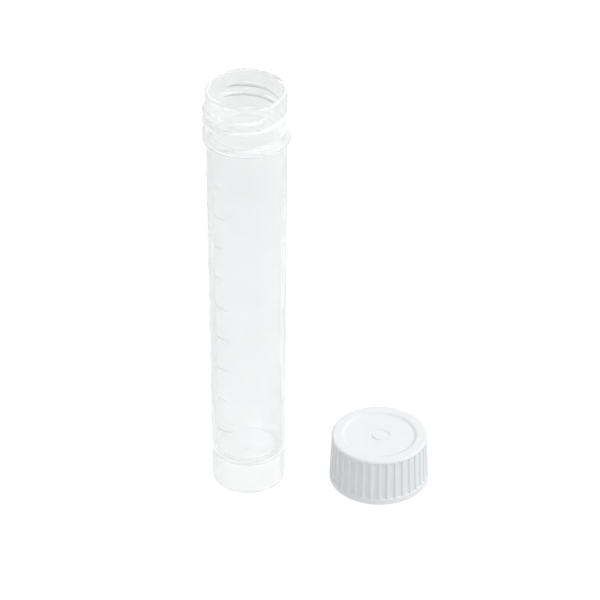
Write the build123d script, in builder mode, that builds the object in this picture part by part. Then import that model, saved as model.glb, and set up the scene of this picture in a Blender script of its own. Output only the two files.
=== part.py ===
from build123d import *
import os
from math import cos, pi, radians, sin

# A 10 ml screw-cap tube with a skirted base that stands by itself, and its one-piece cap,
# which stands beside it on the table. The origin is the centre of the tube's base ring,
# +Z runs up the bore and the cap is towards +X. All dimensions are in millimetres.

# ---- Tube: driving dimensions
tube_height = 92.0
foot_radius = 7.43  # straight foot that a rack's hole takes
foot_length = 12.0
shoulder_radius = 7.92  # outside of the body, just under the collar
neck_radius = 8.0
mouth_radius = 7.15
mouth_length = 9.0  # straight bore below the rim, which the cap's plug enters
mouth_cone = 1.3  # height over which the mouth narrows to the bore of the body
wall = 1.05  # side wall, from the floor to the collar
rim_round = 0.3

collar_radius = 8.68
collar_underside = 81.5
collar_band = 1.2  # height of its straight outer face
collar_flank = 1.1  # height of the sloping face above that, up to the neck

floor_top = 6.7  # the tube holds liquid above here, and the skirt is open below
floor_thickness = 0.85
floor_corner = 2.4  # the dished floor turns up into the wall
dish_radius = 4.9  # flat part of the floor's underside
dish_rise = 1.15  # from there its underside slopes up to the skirt
skirt_mouth_radius = 6.75
skirt_draft = 0.15  # the skirt narrows by this much from the table up to the floor
gate_radius = 0.7
gate_height = 0.45

# ---- Screw thread: two starts, right hand, coarse enough to close in under a turn
lead = 4.2
starts = 2
pitch = lead / starts
ridge_height = 0.6
ridge_root_width = 1.25
ridge_crest_width = 0.55
ridge_embed = 0.3  # how far a ridge is sunk into its wall, so that the two join
ridge_crown = 0.08  # how far the rounded crest rises over its edges
ridge_turns = 1.0
ridge_top = 89.1  # crest height at the upper end of the first start
ridge_top_angle = -58.0  # where that end is, counted from +X
runout_shift = 11.0  # the flat that thins the ends faces this far beyond the upper end

# ---- Graduations: thin raised lines, one for each millilitre
millilitre = 1000.0
graduation_count = 9
first_graduation = 14.4
graduation_width = 0.45
graduation_height = 0.09
graduation_start_angle = -187.0
graduation_sweep = 70.0

# ---- Cap: driving dimensions
cap_x = 26.85
cap_y = -1.1
cap_height = 10.55
cap_base_radius = 10.2
cap_top_radius = 9.8
cap_edge_round = 0.55
cap_band = 1.25  # smooth band under the ribs
cap_bore_radius = 8.75
cap_mouth_radius = 9.05
cap_lead_in = 1.2  # height over which the mouth narrows to the bore
ceiling = tube_height - collar_underside - collar_band  # inside depth, so the edge meets the collar
recess_radius = 7.7
recess_depth = 0.32
recess_slope = 0.6
gate_dimple_radius = 2.15
gate_dimple_depth = 0.14
gate_disc_radius = 1.5
gate_disc_height = 0.2

plug_radius = 7.1
plug_thickness = 1.0
plug_length = 1.9
plug_lead_in = 0.5

rib_count = 36
rib_height = 0.3
rib_width = 0.84
rib_round = 0.28
rib_top = cap_height - cap_edge_round

cap_ridge_height = 0.55
cap_ridge_root_width = 0.95
cap_ridge_crest_width = 0.45
cap_ridge_turns = 0.75
cap_ridge_top = 5.1  # height of its upper end over the cap's lower edge
cutter_radius = 5.0  # a round cutter thins each end of the cap's ridges

# ---- Derived
collar_band_top = collar_underside + collar_band
neck_bottom = collar_band_top + collar_flank
floor_underside = floor_top - floor_thickness
body_slope = (shoulder_radius - foot_radius) / (collar_underside - foot_length)
cap_centre = (cap_x, cap_y, 0)


def body_radius(height):
    """Outside radius of the body, which widens from the top of the foot to the collar."""
    return foot_radius + body_slope * max(0, height - foot_length)


def bore_radius(height):
    """Inside radius of the body, from the floor to the cone under the mouth."""
    return body_radius(height) - wall


def section_plane(angle, origin=(0, 0, 0)):
    """Upright plane through a vertical axis: local x runs outwards at the angle, y runs up."""
    turn = radians(angle)
    return Plane(origin=origin, x_dir=(cos(turn), sin(turn), 0), z_dir=(sin(turn), -cos(turn), 0))


def thread_ridge(root, height, root_width, crest_width, turns):
    """One start, from angle 0 at z = 0 upwards. A negative height points it at the axis."""
    inwards = -1 if height < 0 else 1
    shoulder = height - inwards * ridge_crown
    sunk = -inwards * ridge_embed
    with BuildPart() as ridge:
        with BuildLine() as path:
            Helix(pitch=lead, height=lead * turns, radius=root)
        start = Plane(origin=path.line @ 0, x_dir=(1, 0, 0), z_dir=path.line % 0)
        with BuildSketch(start):
            with BuildLine():
                crest = ThreePointArc(
                    (shoulder, -crest_width / 2), (height, 0), (shoulder, crest_width / 2)
                )
                Polyline(
                    crest @ 1,
                    (0, root_width / 2),
                    (sunk, root_width / 2),
                    (sunk, -root_width / 2),
                    (0, -root_width / 2),
                    crest @ 0,
                )
            make_face()
        sweep(is_frenet=True)
    return ridge.part


# ---- Tube thread: the ridge thins out at both ends, where a flat on the mould cut it
runout_angle = 360 * ridge_turns + runout_shift
with BuildPart() as tube_ridge:
    add(thread_ridge(neck_radius, ridge_height, ridge_root_width, ridge_crest_width, ridge_turns))
    turn = radians(runout_angle)
    outwards = (cos(turn), sin(turn), 0)
    flat_distance = neck_radius - 0.03
    flat_point = (flat_distance * outwards[0], flat_distance * outwards[1], 0)
    split(bisect_by=Plane(origin=flat_point, z_dir=outwards), keep=Keep.BOTTOM)

# ---- Tube: one moulding, with its floor held up by the skirt
mouth_bottom = tube_height - mouth_length
cone_bottom = mouth_bottom - mouth_cone
tube_outline = [
    ((0, floor_top), 0),
    ((bore_radius(floor_top), floor_top), floor_corner),
    ((bore_radius(foot_length), foot_length), 0),
    ((bore_radius(cone_bottom), cone_bottom), 0.5),
    ((mouth_radius, mouth_bottom), 0.5),
    ((mouth_radius, tube_height), rim_round),
    ((neck_radius, tube_height), rim_round),
    ((neck_radius, neck_bottom), 0.4),
    ((collar_radius, collar_band_top), 0.5),
    ((collar_radius, collar_underside), 0.08),
    ((shoulder_radius, collar_underside), 0.12),
    ((foot_radius, foot_length), 0),
    ((foot_radius, 0), 0.2),
    ((skirt_mouth_radius, 0), 0.15),
    ((skirt_mouth_radius - skirt_draft, floor_underside + dish_rise), 0.25),
    ((dish_radius, floor_underside), 1.5),
    ((0, floor_underside), 0),
]
with BuildPart() as tube_body:
    with BuildSketch(section_plane(0)):
        with BuildLine():
            FilletPolyline(
                [point for point, fillet_radius in tube_outline],
                radius=[fillet_radius for point, fillet_radius in tube_outline],
                close=True,
            )
        make_face()
    revolve(axis=Axis.Z)

    with Locations((0, 0, ridge_top - lead * ridge_turns)):
        with PolarLocations(0, starts, start_angle=ridge_top_angle - 360 * ridge_turns):
            add(tube_ridge.part)

    # The gate mark under the floor is a short cone.
    with BuildSketch(section_plane(0)):
        with BuildLine():
            Polyline(
                (0, floor_underside + floor_thickness / 2),
                (gate_radius, floor_underside + floor_thickness / 2),
                (gate_radius, floor_underside),
                (gate_radius / 2, floor_underside - gate_height),
                (0, floor_underside - gate_height),
                close=True,
            )
        make_face()
    revolve(axis=Axis.Z)

    # Each graduation stands one millilitre of the bore above the last.
    height = first_graduation
    for number in range(graduation_count):
        inner = body_radius(height) - wall / 2
        face = body_radius(height)
        low = height - graduation_width / 2
        high = height + graduation_width / 2
        with BuildSketch(section_plane(graduation_start_angle)):
            with BuildLine():
                line_crest = ThreePointArc(
                    (face, low), (face + graduation_height, height), (face, high)
                )
                Polyline(line_crest @ 1, (inner, high), (inner, low), line_crest @ 0)
            make_face()
        revolve(axis=Axis.Z, revolution_arc=graduation_sweep)
        step = millilitre / (pi * bore_radius(height) ** 2)
        height += millilitre / (pi * bore_radius(height + step / 2) ** 2)
tube_body.part.label = "tube_body"

# ---- Cap thread: each end is thinned by a round cutter that just reaches the bore
with BuildPart() as cap_ridge:
    add(
        thread_ridge(
            cap_bore_radius,
            -cap_ridge_height,
            cap_ridge_root_width,
            cap_ridge_crest_width,
            cap_ridge_turns,
        )
    )
    reach = cap_bore_radius + 0.02 - cutter_radius
    for end_angle in (0, 360 * cap_ridge_turns):
        turn = radians(end_angle)
        with BuildSketch(Plane.XY.offset(-pitch)):
            with Locations((reach * cos(turn), reach * sin(turn))):
                Circle(cutter_radius)
        extrude(amount=cap_height, mode=Mode.SUBTRACT)

# ---- One grip rib, which leans in with the side of the cap
with BuildPart() as grip_rib:
    with BuildSketch(section_plane(0)):
        with BuildLine():
            Polyline(
                (cap_top_radius - 2 * rib_height, cap_band / 2),
                (cap_base_radius - 0.03, cap_band / 2),
                (cap_top_radius - 0.03, rib_top),
                (cap_top_radius - 2 * rib_height, rib_top),
                close=True,
            )
        make_face()
    extrude(amount=rib_width / 2, both=True)
    outer_face = grip_rib.faces().sort_by(Axis.X)[-1]
    long_edges = outer_face.edges().sort_by(SortBy.LENGTH)[-2:]
    fillet(long_edges, radius=rib_round)

# ---- Cap: one moulding, with its plug and thread inside
plug_bottom = ceiling - plug_length
recess_floor = cap_height - recess_depth
cap_outline = [
    ((0, ceiling), 0),
    ((plug_radius - plug_thickness, ceiling), 0.3),
    ((plug_radius - plug_thickness + 0.1, plug_bottom), 0.15),
    ((plug_radius - 0.35, plug_bottom), 0.1),
    ((plug_radius, plug_bottom + plug_lead_in), 0.2),
    ((plug_radius, ceiling), 0),
    ((cap_bore_radius, ceiling), 0.2),
    ((cap_bore_radius, cap_lead_in), 0),
    ((cap_mouth_radius, 0), 0.15),
    ((cap_base_radius, 0), 0.2),
    ((cap_base_radius - 0.03, cap_band), 0.2),
    ((cap_base_radius - rib_height - 0.08, cap_band + 0.25), 0.1),
    ((cap_top_radius - rib_height, rib_top - 0.3), 0.15),
    ((cap_top_radius, rib_top), 0.05),
    ((cap_top_radius - 0.02, cap_height), cap_edge_round - 0.05),
    ((recess_radius, cap_height), 0.5),
    ((recess_radius - recess_slope, recess_floor), 0.5),
    ((0, recess_floor), 0),
]
cap_ridge_low = cap_ridge_top - lead * cap_ridge_turns
# In the closed pose the cap's ridges run midway between the tube's.
cap_ridge_drop = ridge_top - collar_band_top - pitch / 2 - cap_ridge_top
cap_ridge_top_angle = ridge_top_angle - 360 * cap_ridge_drop / lead
cap_ridge_low_angle = cap_ridge_top_angle - 360 * cap_ridge_turns
with BuildPart() as screw_cap:
    with BuildSketch(section_plane(0, cap_centre)):
        with BuildLine():
            FilletPolyline(
                [point for point, fillet_radius in cap_outline],
                radius=[fillet_radius for point, fillet_radius in cap_outline],
                close=True,
            )
        make_face()
    revolve(axis=Axis(cap_centre, (0, 0, 1)))

    with Locations(cap_centre):
        with PolarLocations(0, rib_count):
            add(grip_rib.part)

    with Locations((cap_x, cap_y, cap_ridge_low)):
        with PolarLocations(0, starts, start_angle=cap_ridge_low_angle):
            add(cap_ridge.part)

    # The gate mark on top is a low disc in a shallow dimple.
    with BuildSketch(Plane(origin=(cap_x, cap_y, recess_floor))):
        Circle(gate_dimple_radius)
    extrude(amount=-gate_dimple_depth, taper=30, mode=Mode.SUBTRACT)
    with BuildSketch(Plane(origin=(cap_x, cap_y, recess_floor - gate_dimple_depth))):
        Circle(gate_disc_radius)
    extrude(amount=gate_disc_height, taper=30)
screw_cap.part.label = "screw_cap"

os.makedirs("parts", exist_ok=True)
export_step(tube_body.part, "parts/tube_body.step")
export_step(screw_cap.part, "parts/screw_cap.step")

bore_volume = pi * bore_radius((floor_top + neck_bottom) / 2) ** 2 * (neck_bottom - floor_top)
print("capacity up to the neck", round(bore_volume / millilitre, 1), "ml")
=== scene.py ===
from math import cos, radians, sin

import bpy
from mathutils import Matrix, Vector


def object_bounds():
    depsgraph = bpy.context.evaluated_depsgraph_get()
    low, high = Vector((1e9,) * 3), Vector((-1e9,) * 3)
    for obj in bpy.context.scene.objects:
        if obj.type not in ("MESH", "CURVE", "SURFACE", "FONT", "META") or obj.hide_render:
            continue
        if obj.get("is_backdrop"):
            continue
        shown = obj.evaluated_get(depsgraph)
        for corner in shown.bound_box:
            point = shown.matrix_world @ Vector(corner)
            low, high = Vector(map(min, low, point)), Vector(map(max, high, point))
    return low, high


# A translucent polypropylene screw-cap tube standing on its skirt, with its white cap beside it.
# Everything is in metres, in the frame of the CAD model.

MM = 0.001

# ---- Camera: a long lens, looking down at the tube from in front
CAMERA_ELEVATION = 34.2
CAMERA_AZIMUTH = 0.0
CAMERA_DISTANCE = 0.75
CAMERA_ROLL = 0.2
CAMERA_AIM_OFFSET = Vector((-3.7, 1.1, -3.1)) * MM  # from the centre of the whole object
SENSOR_WIDTH = 36.0
LENS = 224.8

# ---- Both plastics: the middle of a noise's range, which is spread over the range of a look
NOISE_MIDDLE = (0.3, 0.7)

# ---- Tube: natural polypropylene, clear with milk in it
TUBE_IOR = 1.49
TUBE_CLOUD_SCALE = 140.0
TUBE_TINTS = ((0.97, 0.98, 0.98, 1), (0.985, 0.992, 0.993, 1))
TUBE_CLARITY = (0.97, 0.94)
TUBE_POLISH_SCALE = 900.0
TUBE_ROUGHNESS = (0.03, 0.06)
TUBE_RIPPLE_DEPTH = 0.003 * MM
TUBE_RIPPLE_STRENGTH = 0.5
MILK_COLOUR = (0.995, 0.998, 0.998, 1)
MILK_DENSITY = 0.4 / MM
MILK_ANISOTROPY = 0.2

# ---- Screw ridge crests and upper flanks look whiter than the walls: partly thick milky plastic, partly a painted highlight where a face looks up to the light above
RIDGE_CLARITY = 0.5  # share of the walls' transmission
RIDGE_RADIUS = (8.03 * MM, 8.3 * MM)  # from the neck's wall to halfway up a ridge
RIDGE_BOTTOM = (83.6 * MM, 84.4 * MM)  # just over the collar
PAINTED_HIGHLIGHT_FACING = (-0.3, 0.4)  # how much a face looks up, from a little down to a little up

# ---- Cap: white polyethylene, satin
CAP_IOR = 1.5
CAP_CLOUD_SCALE = 300.0
CAP_TINTS = ((0.695, 0.71, 0.72, 1), (0.73, 0.742, 0.75, 1))
CAP_GRAIN_SCALE = 6000.0
CAP_ROUGHNESS = (0.38, 0.52)
CAP_GRAIN_DEPTH = 0.01 * MM
CAP_GRAIN_STRENGTH = 0.35
CAP_SUBSURFACE = 0.12
CAP_SUBSURFACE_RADIUS = (1.0, 0.9, 0.8)
CAP_SUBSURFACE_SCALE = 0.6 * MM

# ---- Stage: the floor glows on the object, and a little less from behind the tube
FLOOR_SIZE = 8.0
FLOOR_WHITE = 1.02  # as the camera sees it
FLOOR_NEAR = 0.82  # its glow on the object
FLOOR_FAR = 0.66
FLOOR_FADE = (0.0, 130.0 * MM)  # distance behind the tube over which it fades
FLOOR_ALBEDO = 0.12

# ---- Studio: a bright ceiling, dim low walls, a pale strip at the horizon
STUDIO_GREY = (0.8, 0.8, 0.8, 1)  # the strengths below multiply it
CEILING = 1.52
WALLS = 0.1
CEILING_EDGE = (0.12, 0.42)  # height in the sky, as a sine, from the walls up to the full ceiling
HORIZON_STRIP = 1.02
STRIP_EDGE = (0.03, 0.07)  # height in the sky over which the strip ends
SIDE_LIGHT = 0.45  # how much brighter the sky is towards the cap's side, and dimmer away from it
SIDE_DIRECTION = Vector((1.0, 0.0, 0.0))

# ---- Key light: a square softbox high on the right, a little in front
KEY_DIRECTION = Vector((0.9, -0.35, 0.8))
KEY_DISTANCE = 0.9
KEY_SIZE = 0.4
KEY_POWER = 1.0


def new_material(name):
    material = bpy.data.materials.new(name)
    material.use_nodes = True
    nodes = material.node_tree.nodes
    nodes.clear()
    return material, nodes, material.node_tree.links


def noise(nodes, links, coordinates, scale, detail, roughness=0.5):
    texture = nodes.new("ShaderNodeTexNoise")
    texture.inputs["Scale"].default_value = scale
    texture.inputs["Detail"].default_value = detail
    texture.inputs["Roughness"].default_value = roughness
    links.new(coordinates, texture.inputs["Vector"])
    return texture.outputs["Fac"]


def remap(nodes, links, value, start, end, low, high, interpolation="LINEAR"):
    """From low to high as the value goes from start to end, and level beyond them."""
    mapping = nodes.new("ShaderNodeMapRange")
    mapping.interpolation_type = interpolation
    mapping.inputs["From Min"].default_value = start
    mapping.inputs["From Max"].default_value = end
    mapping.inputs["To Min"].default_value = low
    mapping.inputs["To Max"].default_value = high
    links.new(value, mapping.inputs["Value"])
    return mapping.outputs["Result"]


def spread(nodes, links, texture, limits):
    """A noise texture as values between the two limits."""
    return remap(nodes, links, texture, *NOISE_MIDDLE, *limits)


def fade(nodes, links, value, edge, low, high):
    """A smooth step from low to high as the value crosses the edge."""
    return remap(nodes, links, value, *edge, low, high, "SMOOTHSTEP")


def times(nodes, links, first, second):
    product = nodes.new("ShaderNodeMath")
    product.operation = "MULTIPLY"
    links.new(first, product.inputs[0])
    links.new(second, product.inputs[1])
    return product.outputs["Value"]


def mix(nodes, links, factor, colours):
    blend = nodes.new("ShaderNodeMix")
    blend.data_type = "RGBA"
    blend.inputs["A"].default_value, blend.inputs["B"].default_value = colours
    links.new(factor, blend.inputs["Factor"])
    return blend.outputs["Result"]


def bump(nodes, links, height, distance, strength):
    node = nodes.new("ShaderNodeBump")
    node.inputs["Distance"].default_value = distance
    node.inputs["Strength"].default_value = strength
    links.new(height, node.inputs["Height"])
    return node.outputs["Normal"]


def split(nodes, links, vector):
    parts = nodes.new("ShaderNodeSeparateXYZ")
    links.new(vector, parts.inputs["Vector"])
    return parts.outputs


def ridge_tops_with_painted_highlight(nodes, links, coordinates):
    """One on the crests and upper flanks of each screw ridge, and nothing on the walls; its limit to
    faces that look up is a painted highlight.
    """
    place = split(nodes, links, coordinates.outputs["Object"])
    facing = split(nodes, links, coordinates.outputs["Normal"])
    across = nodes.new("ShaderNodeCombineXYZ")
    links.new(place["X"], across.inputs["X"])
    links.new(place["Y"], across.inputs["Y"])
    radius = nodes.new("ShaderNodeVectorMath")
    radius.operation = "LENGTH"
    links.new(across.outputs["Vector"], radius.inputs[0])
    outside = fade(nodes, links, radius.outputs["Value"], RIDGE_RADIUS, 0, 1)
    above_collar = fade(nodes, links, place["Z"], RIDGE_BOTTOM, 0, 1)
    # Painted highlight: faces that look up are made whiter, standing in for the light from above
    painted_top_light = fade(nodes, links, facing["Z"], PAINTED_HIGHLIGHT_FACING, 0, 1)
    return times(nodes, links, times(nodes, links, outside, above_collar), painted_top_light)


def polypropylene():
    """Natural moulded polypropylene: clear enough to see the far wall, milky where it is thick, with a
    painted highlight on the upward faces of each screw ridge.
    """
    material, nodes, links = new_material("translucent_polypropylene")
    output = nodes.new("ShaderNodeOutputMaterial")
    coordinates = nodes.new("ShaderNodeTexCoord")
    place = coordinates.outputs["Object"]

    clouds = noise(nodes, links, place, TUBE_CLOUD_SCALE, detail=3.0)
    polish = noise(nodes, links, place, TUBE_POLISH_SCALE, detail=3.0)
    walls = spread(nodes, links, clouds, TUBE_CLARITY)
    # Less clear on the ridge crests: thick plastic is milkier, and the limit to faces that look up is a
    # painted highlight
    milky_ridge_and_painted_highlight = fade(nodes, links, ridge_tops_with_painted_highlight(nodes, links, coordinates), (0.0, 1.0), 1.0, RIDGE_CLARITY)
    ripple = bump(nodes, links, polish, TUBE_RIPPLE_DEPTH, TUBE_RIPPLE_STRENGTH)

    shader = nodes.new("ShaderNodeBsdfPrincipled")
    shader.inputs["IOR"].default_value = TUBE_IOR
    links.new(mix(nodes, links, clouds, TUBE_TINTS), shader.inputs["Base Color"])
    links.new(times(nodes, links, walls, milky_ridge_and_painted_highlight), shader.inputs["Transmission Weight"])
    links.new(spread(nodes, links, polish, TUBE_ROUGHNESS), shader.inputs["Roughness"])
    links.new(ripple, shader.inputs["Normal"])
    links.new(shader.outputs["BSDF"], output.inputs["Surface"])

    milk = nodes.new("ShaderNodeVolumeScatter")
    milk.inputs["Color"].default_value = MILK_COLOUR
    milk.inputs["Density"].default_value = MILK_DENSITY
    milk.inputs["Anisotropy"].default_value = MILK_ANISOTROPY
    links.new(milk.outputs["Volume"], output.inputs["Volume"])
    return material


def polyethylene():
    """Opaque white moulded polyethylene with a satin face and a fine moulded grain."""
    material, nodes, links = new_material("white_polyethylene")
    output = nodes.new("ShaderNodeOutputMaterial")
    place = nodes.new("ShaderNodeTexCoord").outputs["Object"]

    clouds = noise(nodes, links, place, CAP_CLOUD_SCALE, detail=2.0)
    grain = noise(nodes, links, place, CAP_GRAIN_SCALE, detail=3.0, roughness=0.6)

    shader = nodes.new("ShaderNodeBsdfPrincipled")
    shader.inputs["IOR"].default_value = CAP_IOR
    shader.inputs["Subsurface Weight"].default_value = CAP_SUBSURFACE
    shader.inputs["Subsurface Radius"].default_value = CAP_SUBSURFACE_RADIUS
    shader.inputs["Subsurface Scale"].default_value = CAP_SUBSURFACE_SCALE
    links.new(mix(nodes, links, clouds, CAP_TINTS), shader.inputs["Base Color"])
    links.new(spread(nodes, links, grain, CAP_ROUGHNESS), shader.inputs["Roughness"])
    links.new(bump(nodes, links, grain, CAP_GRAIN_DEPTH, CAP_GRAIN_STRENGTH), shader.inputs["Normal"])
    links.new(shader.outputs["BSDF"], output.inputs["Surface"])
    return material


def floor_material():
    """A pale table that glows on the object, and is plain white wherever the camera sees it directly."""
    material, nodes, links = new_material("pale_floor")
    output = nodes.new("ShaderNodeOutputMaterial")
    sheet = nodes.new("ShaderNodeBsdfDiffuse")
    sheet.inputs["Color"].default_value = (FLOOR_ALBEDO, FLOOR_ALBEDO, FLOOR_ALBEDO, 1)
    place = split(nodes, links, nodes.new("ShaderNodeTexCoord").outputs["Object"])
    glow = nodes.new("ShaderNodeEmission")
    fading = fade(nodes, links, place["Y"], FLOOR_FADE, FLOOR_NEAR, FLOOR_FAR)
    links.new(fading, glow.inputs["Strength"])
    lit = nodes.new("ShaderNodeAddShader")
    links.new(sheet.outputs["BSDF"], lit.inputs[0])
    links.new(glow.outputs["Emission"], lit.inputs[1])
    white = nodes.new("ShaderNodeEmission")
    white.inputs["Strength"].default_value = FLOOR_WHITE
    seen = nodes.new("ShaderNodeMixShader")
    links.new(nodes.new("ShaderNodeLightPath").outputs["Is Camera Ray"], seen.inputs["Fac"])
    links.new(lit.outputs["Shader"], seen.inputs[1])
    links.new(white.outputs["Emission"], seen.inputs[2])
    links.new(seen.outputs["Shader"], output.inputs["Surface"])
    return material


def add_floor():
    half = FLOOR_SIZE / 2
    mesh = bpy.data.meshes.new("floor")
    corners = [(-half, -half, 0), (half, -half, 0), (half, half, 0), (-half, half, 0)]
    mesh.from_pydata(corners, [], [(0, 1, 2, 3)])
    mesh.materials.append(floor_material())
    floor = bpy.data.objects.new("floor", mesh)
    bpy.context.scene.collection.objects.link(floor)
    floor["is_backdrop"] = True


def add_world():
    """A sky that is lit by height, and more from the cap's side."""
    world = bpy.data.worlds.new("studio")
    bpy.context.scene.world = world
    world.use_nodes = True
    nodes, links = world.node_tree.nodes, world.node_tree.links
    nodes.clear()
    output = nodes.new("ShaderNodeOutputWorld")
    background = nodes.new("ShaderNodeBackground")
    background.inputs["Color"].default_value = STUDIO_GREY
    direction = nodes.new("ShaderNodeTexCoord").outputs["Generated"]
    height = split(nodes, links, direction)["Z"]
    sideways = nodes.new("ShaderNodeVectorMath")
    sideways.operation = "DOT_PRODUCT"
    sideways.inputs[1].default_value = SIDE_DIRECTION
    links.new(direction, sideways.inputs[0])

    above = fade(nodes, links, height, CEILING_EDGE, WALLS, CEILING)
    side = fade(nodes, links, sideways.outputs["Value"], (-1, 1), 1 - SIDE_LIGHT, 1 + SIDE_LIGHT)
    total = nodes.new("ShaderNodeMath")
    total.operation = "ADD"
    links.new(times(nodes, links, above, side), total.inputs[0])
    links.new(fade(nodes, links, height, STRIP_EDGE, HORIZON_STRIP, 0.0), total.inputs[1])
    links.new(total.outputs["Value"], background.inputs["Strength"])
    links.new(background.outputs["Background"], output.inputs["Surface"])


def add_key(middle):
    light = bpy.data.lights.new("key", "AREA")
    light.shape = "SQUARE"
    light.size = KEY_SIZE
    light.energy = KEY_POWER
    softbox = bpy.data.objects.new("key", light)
    towards = KEY_DIRECTION.normalized()
    softbox.location = middle + towards * KEY_DISTANCE
    softbox.rotation_euler = towards.to_track_quat("Z", "Y").to_euler()
    bpy.context.scene.collection.objects.link(softbox)


def add_camera(middle):
    azimuth, elevation = radians(CAMERA_AZIMUTH), radians(CAMERA_ELEVATION)
    back = Vector((sin(azimuth) * cos(elevation), -cos(azimuth) * cos(elevation), sin(elevation)))
    right = Vector((0, 0, 1)).cross(back).normalized()
    up = back.cross(right)
    turn = Matrix((right, up, back)).transposed() @ Matrix.Rotation(radians(CAMERA_ROLL), 3, "Z")
    data = bpy.data.cameras.new("camera")
    data.sensor_width = SENSOR_WIDTH
    data.lens = LENS
    data.clip_start = 0.01
    data.clip_end = 50.0
    camera = bpy.data.objects.new("camera", data)
    place = middle + CAMERA_AIM_OFFSET + back * CAMERA_DISTANCE
    camera.matrix_world = Matrix.Translation(place) @ turn.to_4x4()
    bpy.context.scene.collection.objects.link(camera)
    bpy.context.scene.camera = camera


def dress(piece, material):
    for slot in piece.material_slots:
        slot.material = material


def set_light_paths(cycles):
    """Light has to find its way through many turns inside the plastic."""
    cycles.max_bounces = 64
    cycles.transmission_bounces = 64
    cycles.glossy_bounces = 32
    cycles.volume_bounces = 32
    cycles.diffuse_bounces = 6
    cycles.blur_glossy = 0.0
    cycles.sample_clamp_indirect = 0.0
    cycles.caustics_refractive = True
    cycles.caustics_reflective = True


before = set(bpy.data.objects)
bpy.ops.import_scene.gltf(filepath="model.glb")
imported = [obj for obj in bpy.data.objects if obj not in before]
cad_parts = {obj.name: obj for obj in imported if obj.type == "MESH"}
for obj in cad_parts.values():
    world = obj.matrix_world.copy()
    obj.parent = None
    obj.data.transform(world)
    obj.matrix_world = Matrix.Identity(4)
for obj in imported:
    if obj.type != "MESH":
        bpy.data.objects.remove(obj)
low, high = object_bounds()
centre = (Vector(low) + Vector(high)) / 2

add_camera(centre)
add_floor()
add_world()
add_key(centre)

dress(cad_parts["tube_body"], polypropylene())
dress(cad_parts["screw_cap"], polyethylene())

bpy.context.scene.view_settings.view_transform = "Standard"
set_light_paths(bpy.context.scene.cycles)

low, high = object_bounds()
